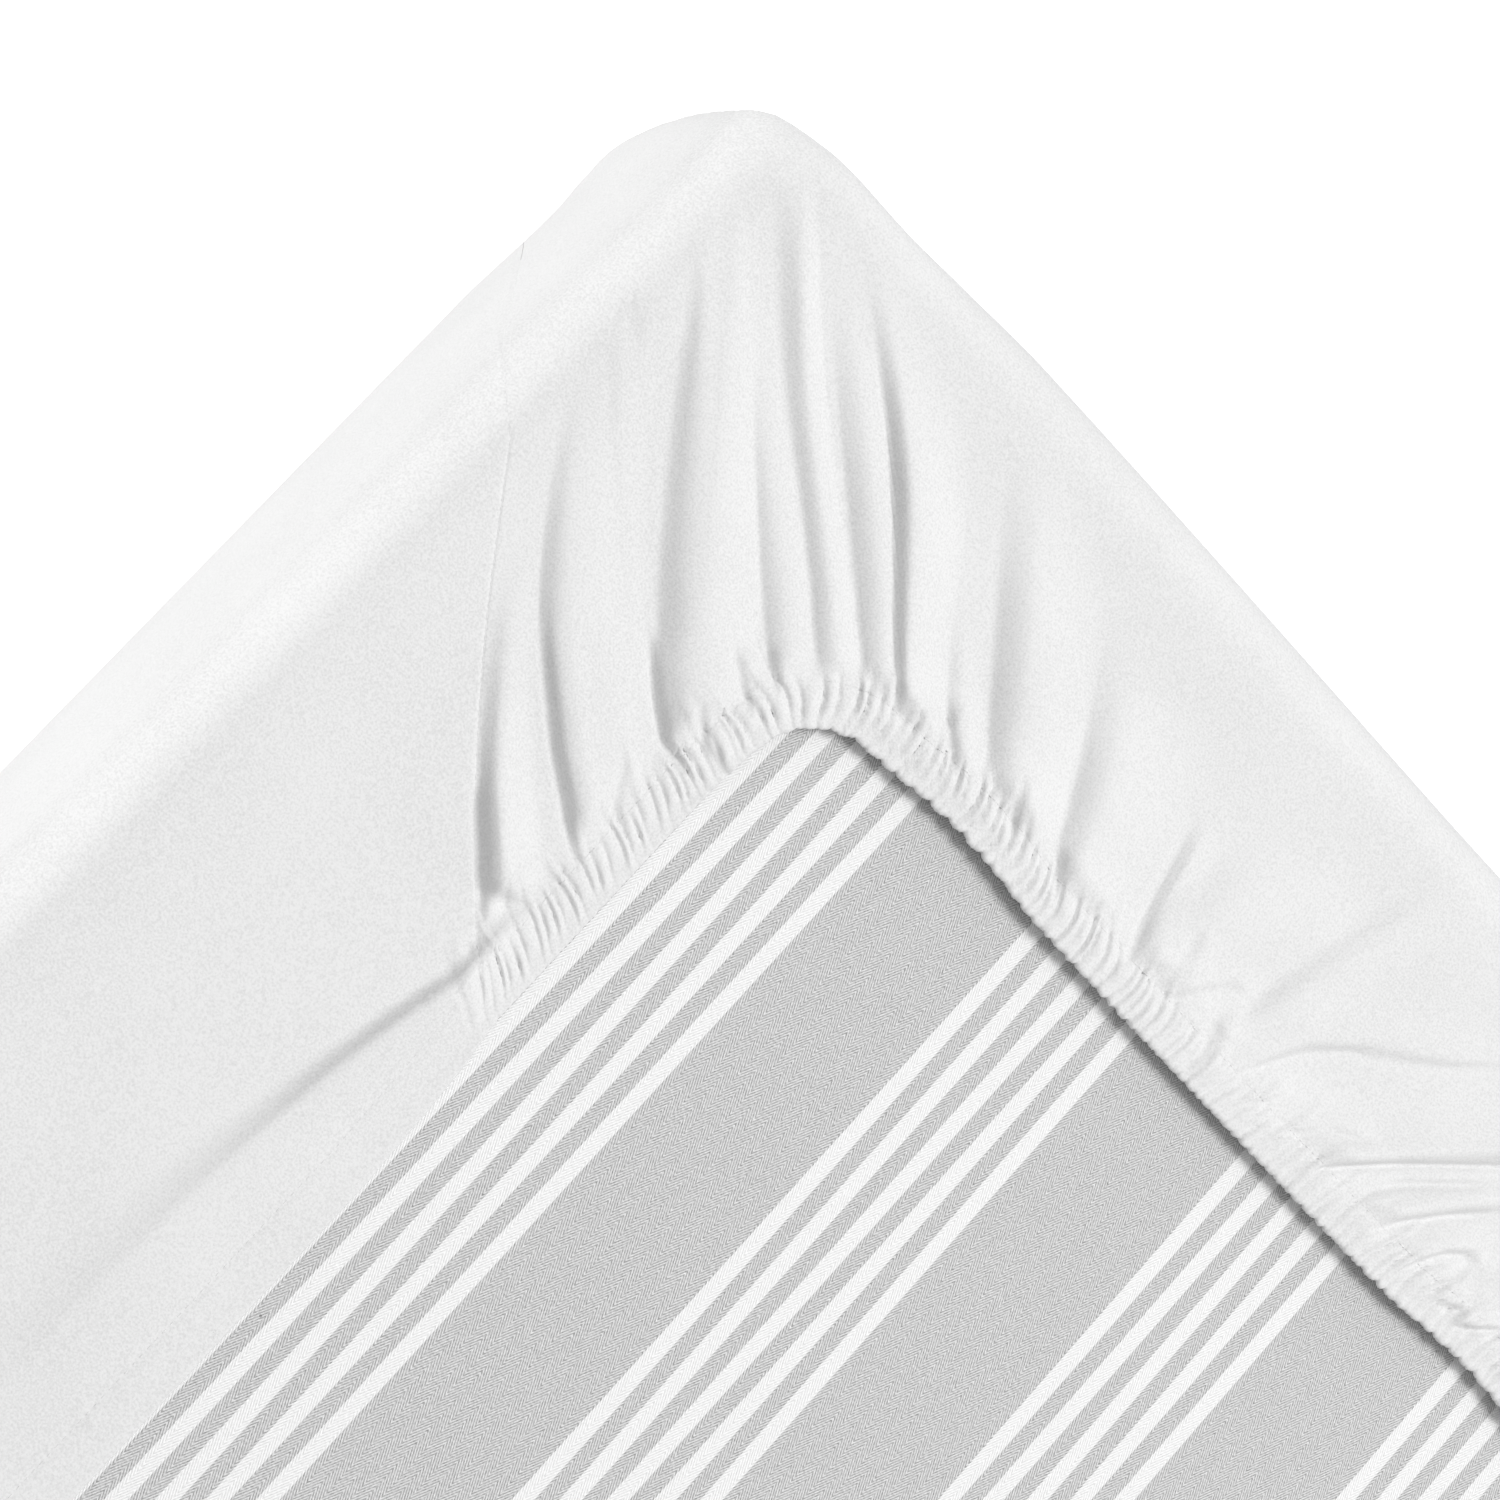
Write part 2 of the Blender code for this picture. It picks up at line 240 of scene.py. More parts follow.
# Main folds of a gathered end.
# at, atHem: place of the valley line along the hem, near the wall and near the hem
# start: where the fold begins, as a share of the line from the wall to the hem, below 0 on the wall
# stop: how far from the hem it ends
# height: of the crest
# rise, riseHem: width of the steep flank at the wall and at the hem
# fall: width of the gentle flank
# side: 1 with the crest after the valley line, -1 before it
# crisp: 1 for a sharp valley line
foldColumns = ("at", "atHem", "start", "stop", "height", "rise", "riseHem", "fall", "side", "crisp")
folds = [
    (2, 2.6, 0.24, 19, 4.6, 27, 0.9, 26, 1, 0.8),
    (43, 45, 0.00, 15, 4.2, 12, 8, 26, 1, 0.8),
    (65, 67, -0.16, 40, 0.9, 6, 5, 9, 1, 0.3),
    (86, 80, -0.12, 14, 6.0, 17, 11, 26, 1, 0.6),
    (111, 117, 0.05, 13, 2.6, 8, 6, 12, 1, 0.8),
    (124, 131, -0.12, 13, 3.6, 8, 6, 11, 1, 0.9),
    (147, 149, 0.12, 12, 3.3, 8, 6, 11, 1, 0.9),
    (162, 158.3, 0.02, 12, 6.3, 6.5, 3.0, 20, 1, 1.0),
    (179, 181, 0.45, 11, 2.2, 7, 5, 10, 1, 0.7),
    (197, 197, 0.04, 12, 4.8, 9, 7, 18, 1, 0.8),
    (221, 220, 0.20, 12, 4.6, 10, 6, 20, 1, 0.9),
    (256, 249, 0.16, 13, 3.4, 9, 6, 18, 1, 0.8),
    (288, 286, 0.30, 14, 1.6, 8, 6, 14, -1, 0.6),
    (325, 323, 0.05, 13, 3.6, 8, 5, 18, -1, 0.9),
    (349, 348, 0.30, 12, 2.8, 7, 5, 14, -1, 0.9),
    (368, 366, 0.45, 12, 2.4, 6, 4, 12, -1, 0.8),
    (390, 389, 0.30, 12, 3.0, 7, 5, 13, -1, 0.9),
    (415, 412, 0.10, 13, 3.8, 8, 5, 14, -1, 0.8),
    (434, 438, -0.04, 12, 6.0, 7, 4, 19, -1, 1.0),
    (452, 449, 0.15, 12, 3.2, 8, 6, 11, -1, 0.8),
    (469, 464, -0.05, 12, 3.8, 8, 6, 11, -1, 0.9),
    (484, 481, 0.12, 12, 3.0, 8, 6, 11, -1, 0.9),
    (509, 518, -0.04, 13, 6.0, 13, 9, 25, -1, 0.9),
    (553, 550, 0.02, 14, 4.6, 12, 8, 25, -1, 0.9),
    (595, 594.4, 0.24, 19, 4.4, 27, 0.9, 24, -1, 0.8),
]
foldShape = {
    "fadeIn": 0.45,             # share of the line over which a fold grows
    "fadeOut": 9.0,             # distance over which it dies out before the casing
    "shifts": (0.3, 0.8),       # stretch of the line where the valley moves over to its place at the hem
    "crispAtWall": 0.35,        # share of its sharpness that a valley has at the wall
    "sharpens": (0.1, 0.8),     # and the stretch of the line where it gets the rest
    "blend": 4,                 # power that joins neighbours, so that the higher one stands
}

# Ridge along the plain hem, where the cloth is pulled towards the corner.
# Distance from the seam, valley line from the hem, height, width of the flank to the wall and of the one to
# the hem, depth of the groove beside it.
pull = [
    (-36, 20.0, 0.0, 4.0, 5, 0.0),
    (-27, 20.2, 1.8, 4.0, 7, 0.3),
    (-19, 19.6, 3.2, 3.2, 9, 0.5),
    (-13, 19.3, 4.0, 3.2, 12, 0.6),
    (-4, 22.2, 4.8, 3.3, 16, 0.7),
    (6, 26.2, 4.8, 3.7, 19, 0.7),
    (28, 32.8, 4.1, 4.9, 23, 0.6),
    (58, 40.5, 3.0, 8, 27, 0.4),
    (105, 48.7, 1.9, 13, 32, 0.2),
    (150, 55.0, 1.1, 19, 35, 0.1),
    (210, 60.0, 0.4, 23, 38, 0.0),
    (260, 63.0, 0.0, 25, 38, 0.0),
]
pullShape = {
    "steepens": 1.7,            # power of the rise to the crest
    "grooveReach": 5.0,
}

casing = {
    "width": 14.0,
    "bandHeight": 0.5,          # how far the gathered casing stands over the flap, along the sides
    "bandHeightEnd": 1.2,       # and round the ends
    "bandFades": (7.0, 24.0),   # over these distances from the hem
    "plainHeight": 0.18,        # and the flat turned hem of the long sides
    "plainFades": (10.0, 15.0),
    "liftSide": 0.4,            # underside of the hem over its seat, along the sides
    "liftEnd": 3.1,             # and round the gathered ends
    "liftGrows": (82.0, 122.0),
    "liftFades": (8.4, 34.0),   # over these distances from the hem
    "gatherStarts": (-12, 6),   # round the corner seam
    "rollSide": 0.8,            # radius of the turned edge
    "rollEnd": 1.15,
    "stitchLine": 13.4,
    "stitchDip": 0.12,
    "stitchDipWidth": 0.8,
}

# Tucks that the elastic pulls into the casing.
# left: share of the height that is left at the edge of the hem
# lean: how much their lines lean for each millimetre from the hem
# bow: how far they bow sideways
tuckColumns = ("place", "spacing", "height", "left", "lean", "bow")
tucks = [
    (-16, 5.0, 0.00, 0.0, 0.50, 0.8),
    (2, 3.7, 0.10, 0.1, 0.50, 1.2),
    (9, 3.7, 1.70, 0.1, 0.50, 1.2),
    (60, 3.7, 1.80, 0.1, 0.42, 1.2),
    (108, 3.4, 2.00, 0.2, 0.30, 1.0),
    (135, 3.2, 2.30, 0.3, -0.05, 1.5),
    (165, 3.3, 2.30, 0.3, -0.15, 2.0),
    (190, 4.0, 2.35, 0.4, -0.30, 2.6),
    (255, 3.8, 1.90, 0.6, -0.20, 2.2),
    (300, 3.6, 1.35, 0.8, 0.25, 0.5),
    (407, 3.8, 1.90, 0.5, 0.30, -2.0),
    (432, 3.3, 2.30, 0.3, 0.15, -2.0),
    (462, 3.2, 2.30, 0.3, 0.05, -1.5),
    (489, 3.4, 2.00, 0.2, -0.30, -1.0),
    (537, 3.7, 1.80, 0.1, -0.42, -1.2),
    (hemPath - 9, 3.7, 1.70, 0.1, -0.50, -1.2),
    (hemPath - 2, 3.7, 0.10, 0.1, -0.50, -1.2),
    (hemPath + 16, 5.0, 0.00, 0.0, -0.50, -0.8),
]
# the tucks take their spacing, height, beginning and end from these in turn, so that neighbours differ
tuckUnevenness = (0.92, 1.30, 0.70, 1.06, 1.45, 0.80, 1.10, 0.66, 1.22, 0.95, 1.36, 0.74, 1.0, 0.85, 1.18)
tuckHeights = (1.0, 0.55, 1.25, 0.85, 0.65, 1.15, 0.45, 1.05, 0.7, 1.3, 0.8, 0.6, 0.95)
tuckBegins = (2.0, 4.5, 1.0, 3.5, 2.5, 5.5, 1.5, 4.0, 3.0)
tuckEnds = (15.0, 12.0, 19.0, 14.5, 24.0, 11.0, 17.0, 21.0, 13.5, 10.0, 27.0, 16.0, 12.5)
tuckShape = {
    "skew": 0.72,               # below 1 the crown of a tuck lies nearer its first valley
    "roundness": 0.6,           # lower is rounder, with sharper valleys
    "turn": 270.0,              # past this place they face the other way
    "bowReach": 18.0,           # from the edge of the hem
    "wander": ((1.1, 3.7, 0), (0.9, 9.1, 2)),       # size, length and phase of the waves in their lines
    "grows": 4.0,               # from where it begins
    "fades": 5.0,               # before and after where it ends
    "smallSpacing": 1.9,
    "smallHeight": 0.14,
}

# Scallops that the tucks leave in the edge of the hem: place along the hem, width and depth of one.
scallops = mirrorRows([
    (-10, 5.5, 0.00),
    (10, 5.5, 0.12),
    (100, 6.0, 0.15),
    (122, 8.0, 1.00),
    (150, 7.2, 1.95),
    (190, 6.2, 1.85),
    (240, 4.6, 1.40),
    (300, 4.0, 1.00),
])
scallopShape = {
    "roundness": 0.55,
    "middle": 0.68,             # height of a bump that lies on the line of the hem
    "reach": 6.0,               # from the edge, where they have died out
    "toothSize": 0.14,
    "teeth": ((1.0, 3.3, 0), (0.7, 2.05, 1), (0.6, 1.27, 2)),       # size, rate and phase of their waves
}

# faint waves that stretched cloth keeps
clothWaves = {
    "height": 0.035,
    "waves": ((1, 5.3, 8.1, 0), (1, -9.9, 6.7, 1), (1, 11.3, -4.9, 2.2), (2, 17.0, 23.0, 0)),
    "fromHem": (2.0, 20.0),     # they grow over these distances from the hem
    "fromWall": (0.0, 0.1),     # and these shares of the line from the wall
}

# columns of points along the side before a gathered end, round that end and along the side after it
columnCounts = {"near": (160, 1184, 48), "far": (48, 432, 64)}
sideCrowding = 1.6              # crowds the columns of the sides towards the seams
rowSteps = {
    "bottomArc": 5,
    "wall": 8,
    "topArc": 8,
    "flapOuter": 15,            # rows from the wall to the start of the fine rows
    "fineFrom": 46.0,
    "fineTo": 15.4,
    "fineStep": 1.25,
    "casing": (14.6, 13.9, 13.4, 12.9, 12.1, 11.0, 9.8, 8.6, 7.4, 6.2, 5.0, 3.9, 2.9, 2.0),
    "roll": (90, 45, 0, -45, -90),
    "under": (3.5, 7.0),
    "curvePoints": 241,         # on each line from the wall to the hem
}
everyColumn = {"wall": 4, "flap": 2, "hem": 1}      # rows keep every fourth, second or single column


def halfPlaces(before, across, after):
    # places along the hem, from the middle of one side round a gathered end to the middle of the other
    left = -seamToMiddle * (np.arange(before, 0, -1) / before) ** sideCrowding
    end = hemPath * np.arange(across) / across
    right = hemPath + seamToMiddle * (np.arange(after) / after) ** sideCrowding
    return np.concatenate((left, end, right))


def edgePlaces(place):
    # places along the top of the wall, one for each place along the hem
    fanOut = sheet["seamAtHem"] - sheet["seamAtEdge"]
    beyond = np.maximum(-place, place - hemPath)
    moved = fanOut * smooth(0, sideFan["reach"], beyond)
    inner = readTable(fan, fanColumns.index("edge"), place)
    after = np.where(place > hemPath, edgePath + place - hemPath + moved, inner)
    return np.where(place < 0, place - moved, after)


def bows(place):
    beyond = np.maximum(-place, place - hemPath)
    outer = sideFan["bow"] * (1 - smooth(0, sideFan["bowReach"], beyond))
    inner = readTable(fan, fanColumns.index("bow"), place)
    return np.where(place < 0, -outer, np.where(place > hemPath, outer, inner))


def foldHeight(place, along, away):
    # place along the hem, share of the line from the wall, distance from the hem
    total = np.zeros(np.broadcast(place, along).shape)
    shift = smooth(*foldShape["shifts"], along)
    sharpness = between(foldShape["crispAtWall"], 1, smooth(*foldShape["sharpens"], along))
    for row in folds:
        fold = dict(zip(foldColumns, row))
        rise = between(fold["rise"], fold["riseHem"], np.clip(along, 0, 1))
        offset = (place - between(fold["at"], fold["atHem"], shift)) * fold["side"]
        up = np.clip(offset / rise, 0, 1)
        crisp = fold["crisp"] * sharpness
        up = (1 - crisp) * up * up * (3 - 2 * up) + crisp * (1 - (1 - up) ** 2)
        across = up * (1 - smooth(0, fold["fall"], offset - rise))
        length = smooth(fold["start"], fold["start"] + foldShape["fadeIn"], along)
        length = length * smooth(fold["stop"], fold["stop"] + foldShape["fadeOut"], away)
        total = total + (fold["height"] * across * length) ** foldShape["blend"]
    return total ** (1 / foldShape["blend"])


def pullHeight(nearest, away):
    fromSeam = np.maximum(-nearest, nearest - hemPath)
    valley, height, outer, inner, groove = [readTable(pull, column, fromSeam) for column in (1, 2, 3, 4, 5)]
    up = np.clip((valley - away) / outer, 0, 1) ** pullShape["steepens"]
    beside = groove * np.exp(-np.clip(away - valley, 0, None) / pullShape["grooveReach"]) * (1 - up)
    return height * up * (1 - smooth(0, inner, valley - outer - away)) - beside


# Creases placed on the corner at -X, and again on the one at +X: depth, width, height of the lip on
# their lit side, and the points they run through.
creases = [
    (1.4, 3.0, 1.8, [(-226, 402), (-212, 390), (-203, 382)]),
    (2.0, 3.4, 1.0, [(-204, 381), (-200, 383.5), (-193, 386.5)]),
    (1.0, 2.0, 1.6, [(-244, 445), (-217, 423), (-205, 415), (-197, 409), (-192, 406)]),
    (0.7, 2.2, 0.9, [(-201, 433), (-194, 423), (-189, 422)]),
    (1.0, 2.2, 1.8, [(-219, 463), (-206, 452), (-197, 446), (-189, 445)]),
    (0.8, 2.0, 1.2, [(-198, 460), (-188, 453), (-179, 452)]),
    (0.8, 2.0, 1.0, [(-199, 476), (-186, 469)]),
    (0.8, 2.0, 1.0, [(-193, 485), (-184, 478)]),
    (0.7, 2.0, 0.9, [(-145, 512), (-129, 498)]),
    (0.8, 2.0, 1.2, [(-114, 512), (-105, 498)]),
    (1.0, 2.0, 1.4, [(-91, 506), (-83, 496)]),
    (1.0, 2.2, 1.6, [(-64, 540), (-58, 516), (-53, 498)]),
    (0.7, 2.6, 0.8, [(-42, 519), (-39, 505)]),
    (0.8, 1.8, 1.0, [(-35, 499), (-29, 508), (-22, 516), (-19, 517)]),
    (0.7, 1.8, 0.9, [(-25, 496), (-20, 505), (-18, 513)]),
    (0.6, 1.8, 0.8, [(-18, 489), (-17, 496), (-19, 505)]),
    (0.6, 1.8, 0.8, [(5, 495), (13, 505)]),
    (0.7, 2.0, 1.0, [(21, 498), (29, 507), (41, 513)]),
    (1.4, 1.6, 2.2, [(34, 496), (55, 516), (80, 538), (98, 552)]),
    (0.9, 1.8, 1.2, [(51, 502), (59, 512), (84, 534)]),
    (1.0, 2.0, 1.5, [(61, 496), (68, 505), (78, 516), (91, 529)]),
    (1.0, 2.0, 1.4, [(77, 495), (84, 507), (91, 512), (96, 512)]),
    (1.0, 2.0, 1.4, [(93, 495), (100, 499)]),
    (1.2, 2.0, 1.8, [(101, 494), (108, 498), (115, 504)]),
    (0.6, 4.0, 0.6, [(-296, 530), (-281, 518)]),
    (1.4, 3.6, 1.6, [(-15, 512), (-13, 524), (-10, 538), (-4, 560), (2, 579)]),
    (0.9, 2.4, 1.5, [(-6, 495), (1, 506), (9, 519), (20, 529), (31, 536), (47, 547), (60, 559)]),
]
creaseShape = {
    "litSide": (0.42, 0.91),    # lips stand on this side of a crease
    "mirrorPast": 125.0,        # creases nearer the middle than this are not repeated at +X
    "trough": 0.7,              # in widths of the crease, and the next two
    "lipTop": 1.2,
    "lipEnd": 6.0,
    "margin": 6.0,              # past the lip, where a crease is no longer worked out
    "fadeIn": (-0.12, 0.25),    # shares of its length
    "fadeOut": (0.75, 1.12),
    "fadePast": 2.0,            # and this far past its ends
}


def oneCrease(x, y, row, sign):
    depth, width, lip, points = row
    spots = [(sign * px, py) for px, py in points]
    litX, litY = creaseShape["litSide"]
    nearest = np.full(x.shape, np.inf)
    side, along = np.zeros(x.shape), np.zeros(x.shape)
    run = 0.0
    for (ax, ay), (bx, by) in zip(spots, spots[1:]):
        dx, dy = bx - ax, by - ay
        size = math.hypot(dx, dy)
        t = ((x - ax) * dx + (y - ay) * dy) / size ** 2
        held = np.clip(t, 0, 1)
        gap = np.hypot(x - ax - held * dx, y - ay - held * dy)
        lit = 1.0 if dx * litY - dy * litX > 0 else -1.0
        offset = lit * ((y - ay) * dx - (x - ax) * dy) / size
        closer = gap < nearest
        nearest = np.where(closer, gap, nearest)
        side = np.where(closer, np.sign(offset) * gap, side)
        along = np.where(closer, run + t * size, along)
        run += size
    (inFrom, inTo), (outFrom, outTo) = creaseShape["fadeIn"], creaseShape["fadeOut"]
    ends = smooth(inFrom * run - creaseShape["fadePast"], inTo * run, along)
    ends = ends * (1 - smooth(outFrom * run, outTo * run + creaseShape["fadePast"], along))
    top, end = creaseShape["lipTop"] * width, creaseShape["lipEnd"] * width
    raised = smooth(0, top, side) * (1 - smooth(top, end, side))
    trough = np.exp(-(side / (creaseShape["trough"] * width)) ** 2)
    return ends * (lip * raised - depth * trough)


def creaseHeight(x, y):
    total = np.zeros(x.shape)
    for row in creases:
        acrosses, alongs = zip(*row[3])
        reach = creaseShape["lipEnd"] * row[1] + creaseShape["margin"]
        inY = (y > min(alongs) - reach) & (y < max(alongs) + reach)
        signs = (1, -1) if acrosses[0] < -creaseShape["mirrorPast"] else (1,)
        for sign in signs:
            low, high = sorted((sign * min(acrosses), sign * max(acrosses)))
            inside = (x > low - reach) & (x < high + reach) & inY
            if inside.any():
                total[inside] += oneCrease(x[inside], y[inside], row, sign)
    return total


def unevenLines(rows):
    # where each tuck or scallop starts, in order along the hem
    starts, at, i = [], rows[0][0], 0
    while at < rows[-1][0]:
        starts.append(at)
        at += float(readTable(rows, 1, np.array([at]))[0]) * tuckUnevenness[i % len(tuckUnevenness)]
        i += 1
    return np.array(starts)


tuckStarts = unevenLines(tucks)
scallopStarts = unevenLines(scallops)


def shareOf(at, starts):
    # number of the tuck or scallop, and how far through it
    i = np.clip(np.searchsorted(starts, at) - 1, 0, len(starts) - 2)
    return i, np.clip((at - starts[i]) / (starts[i + 1] - starts[i]), 0, 1)


def tuckValue(name, place):
    return readTable(tucks, tuckColumns.index(name), place)


def tuckHeight(place, away):
    # rounded tucks with sharp valleys between them
    reach = np.clip(away, 0, None)
    bow = tuckValue("bow", place) * np.sin(math.pi * np.clip(reach / tuckShape["bowReach"], 0, 1))
    wander = sum(size * np.sin(place / length + phase) for size, length, phase in tuckShape["wander"])
    at = place - tuckValue("lean", place) * reach - bow + wander * reach / casing["width"]
    i, part = shareOf(at, tuckStarts)
    part = np.where(place > tuckShape["turn"], 1 - part, part)
    crown = np.sin(math.pi * part ** tuckShape["skew"]) ** tuckShape["roundness"]
    height = tuckValue("height", place) * np.take(tuckHeights, i % len(tuckHeights))
    left = tuckValue("left", place)
    begin = np.take(tuckBegins, i % len(tuckBegins))
    length = between(left, 1, smooth(begin, begin + tuckShape["grows"], away))
    ends = np.take(tuckEnds, i % len(tuckEnds))
    length = length * (1 - smooth(ends - tuckShape["fades"], ends + tuckShape["fades"], away))
    fine = tuckShape["smallHeight"] * left * np.sin(2 * math.pi * at / tuckShape["smallSpacing"])
    return length * (height * (crown - 0.5) + fine)


def scallopPush(place, away):
    # how far the edge of the hem bulges inwards over the opening
    i, part = shareOf(place, scallopStarts)
    size = readTable(scallops, 2, place) * np.take(tuckHeights, (3 * i) % len(tuckHeights))
    bumps = size * (np.sin(math.pi * part) ** scallopShape["roundness"] - scallopShape["middle"])
    teeth = sum(share * np.sin(place * rate + phase) for share, rate, phase in scallopShape["teeth"])
    ragged = scallopShape["toothSize"] * gatherShare(place) * teeth
    return (bumps + ragged) * (1 - smooth(0, scallopShape["reach"], away))


def unevenCloth(x, y, along, away):
    # each wave has a size, a length across and along, and a phase
    terms = [size * np.sin(x / wide + y / long + phase) for size, wide, long, phase in clothWaves["waves"]]
    grown = smooth(*clothWaves["fromHem"], away) * smooth(*clothWaves["fromWall"], along)
    return clothWaves["height"] * sum(terms) * grown


def gatherShare(place):
    # 0 on the plain sides, 1 where the elastic gathers the cloth
    return smooth(*casing["gatherStarts"], np.minimum(place, hemPath - place))


def endShare(place):
    # 0 along the sides, 1 round the end, where the hem lifts off the mattress
    return smooth(*casing["liftGrows"], np.minimum(place, hemPath - place))


def flapSurface(place, along, away, x, y):
    # height of the cloth over the floor, on the flap and the casing
    nearest, _, _ = hemPlace(x, y)
    gather, atEnd = gatherShare(nearest), endShare(nearest)
    base = between(edgeTop, flapHeight, smooth(0, sheet["levelsOut"], along))
    lift = between(casing["liftSide"], casing["liftEnd"], atEnd) * (1 - smooth(*casing["liftFades"], away))
    gathered = between(casing["bandHeight"], casing["bandHeightEnd"], atEnd)
    fadeFrom, fadeTo = [between(*pair, gather) for pair in zip(casing["plainFades"], casing["bandFades"])]
    band = between(casing["plainHeight"], gathered, gather) * (1 - smooth(fadeFrom, fadeTo, away))
    groove = casing["stitchDip"] * np.exp(-((away - casing["stitchLine"]) / casing["stitchDipWidth"]) ** 2)
    height = base + lift + band - groove + pullHeight(nearest, away)
    height = height + foldHeight(place, along, away) + tuckHeight(nearest, away)
    height = height + creaseHeight(x, y) + unevenCloth(x, y, along, away)
    return np.maximum(height, faceHeight + sheet["leastHeight"])


def seamDip(place, away):
    # shallow groove of the corner seams
    offset = np.minimum(np.abs(place), np.abs(place - hemPath))
    groove = sheet["seamDepth"] * np.exp(-(offset / sheet["seamWidth"]) ** 2)
    return groove * smooth(*sheet["seamFades"], away)


def slantShares(edge):
    # how much of the seam's lean the cloth takes: 1 at the first seam, -1 at the second, 0 far from both
    shares = []
    for past in (edge, edgePath - edge):
        onEnd = smooth(0, sheet["slantFadesEnd"] * edgePath, past)
        shares.append(1 - np.where(past > 0, onEnd, smooth(0, sheet["slantFadesSide"], -past)))
    return shares[0] - shares[1]


def wallRows(place, edge, lineLength):
    # from the rounded edge at the floor up the wall and round the top edge
    radius = sheet["edgeRadius"]
    arc = radius * math.pi / 2
    wallHeight = edgeTop - 2 * radius
    stretches = ((rowSteps["bottomArc"], arc, arc + wallHeight), (rowSteps["wall"], wallHeight, arc),
                 (rowSteps["topArc"], arc, 0))
    downs = [above + size * np.arange(steps, 0, -1) / steps for steps, size, above in stretches]
    farOff = np.full(len(place), np.inf)        # no fold has died out at the wall
    rows = []
    for down in np.concatenate(downs):
        slant = sheet["seamSlantMost"] * (1 - math.exp(-sheet["seamSlant"] * down / sheet["seamSlantMost"]))
        shifted = edge + slant * slantShares(edge)
        point, out = alongEnd(shifted, sheet["seamAtEdge"], sheet["cornerRadius"], halfWidth, halfLength)
        upper = min(down / radius, math.pi / 2)
        lower = max(down - arc - wallHeight, 0) / radius
        part = min(max((down - arc) / wallHeight, 0), 1)
        inset = radius * (2 - math.sin(upper) - math.cos(lower)) - sheet["bulge"] * math.sin(math.pi * part)
        height = edgeTop - radius * (1 - math.cos(upper)) - wallHeight * part - radius * math.sin(lower)
        push = foldHeight(place, -down / lineLength, farOff) - seamDip(place, farOff)
        drawn = readTable(cornerShape, 1, np.minimum(shifted, edgePath - shifted)) * math.sin(upper) ** 2
        spot = point - out * (inset - push * math.sin(upper) * math.cos(lower) - drawn)[:, None]
        rows.append(np.column_stack((spot, height + push * (math.cos(upper) - math.sin(lower)))))
    return rows


def flapRows(place, start, run, lineLength):
    # from the wall to the edge of the hem, by distance from the hem
    sideways = np.stack((-run[:, 1], run[:, 0]), -1) / lineLength[:, None]
    bow = bows(place)

    def linePoints(along):
        aside = bow * np.sin(math.pi * along)
        return [start[:, k] + run[:, k] * along + sideways[:, k] * aside for k in (0, 1)]

    share = np.linspace(0, 1, rowSteps["curvePoints"])
    away = hemPlace(*linePoints(share[:, None]))[2]
    outer = np.arange(rowSteps["flapOuter"]) / rowSteps["flapOuter"]
    fine = np.arange(rowSteps["fineFrom"], rowSteps["fineTo"], -rowSteps["fineStep"])
    targets = [between(away[0], rowSteps["fineFrom"], part) for part in outer]
    targets += [np.full(len(place), value) for value in (*fine, *rowSteps["casing"])]
    along = np.array([[np.interp(-target[j], -away[:, j], share) for j in range(len(place))]
                      for target in targets])
    x, y = linePoints(along)
    nearest, outward, distance = hemPlace(x, y)
    height = flapSurface(place, along, distance, x, y) - seamDip(place, distance)
    push = scallopPush(nearest, distance)
    x, y = x - outward[..., 0] * push, y - outward[..., 1] * push
    return [np.column_stack(row) for row in zip(x, y, height)], nearest[-1], outward[-1], distance[-1]


def turnedHem(last, nearest, outward, distance):
    # round the turned edge and along the start of the underside
    roll = between(casing["rollSide"], casing["rollEnd"], endShare(nearest))
    steps = []
    for turn in np.radians(rowSteps["roll"]):
        steps.append((distance - roll + roll * math.cos(turn), roll * math.sin(turn) - roll))
    for under in rowSteps["under"]:
        steps.append((distance - under, -2 * roll))
    rows = []
    for inward, down in steps:
        rows.append(np.column_stack((last[:, :2] - outward * inward[:, None], last[:, 2] + down)))
    return rows


def halfSheet(counts):
    # rows of points of half the sheet, from the floor to the turned hem, and each row's spacing
    place = halfPlaces(*counts)
    edge = edgePlaces(place)
    edgePoint, normal = alongEnd(edge, sheet["seamAtEdge"], sheet["cornerRadius"], halfWidth, halfLength)
    hemPoint, _ = alongEnd(place, hemReach, sheet["hemCorner"], hemHalfWidth, hemHalfLength)
    start = edgePoint - normal * sheet["edgeRadius"]
    run = hemPoint - start
    lineLength = np.hypot(run[:, 0], run[:, 1])
    wall = wallRows(place, edge, lineLength)
    flap, *hemEdge = flapRows(place, start, run, lineLength)
    hem = turnedHem(flap[-1], *hemEdge)
    casingRows = len(rowSteps["casing"])
    spacing = [everyColumn["wall"]] * len(wall)
    spacing += [everyColumn["flap"]] * (len(flap) - casingRows)
    spacing += [everyColumn["hem"]] * (casingRows + len(hem))
    return wall + flap + hem, spacing


def joinHalves():
    near, spacing = halfSheet(columnCounts["near"])
    far, _ = halfSheet(columnCounts["far"])
    turned = (-1, -1, 1)
    rows = [np.concatenate((first, second * turned)) * millimetre for first, second in zip(near, far)]
    return rows, spacing


def joinRings(faces, coarse, fine):
    # faces between two rings of points, the second with as many as the first or a multiple of them
    ratio = len(fine) // len(coarse)
    for i in range(len(coarse)):
        far = [fine[(i * ratio + k) % len(fine)] for k in range(ratio, -1, -1)]
        faces.append([coarse[i], coarse[(i + 1) % len(coarse)], *far])


restingFace = {
    "rings": (0.94, 0.8, 0.55, 0.25),       # each this share of the size of the one before it
    "thinPast": 120,                        # a ring with more points than this loses every second one
}


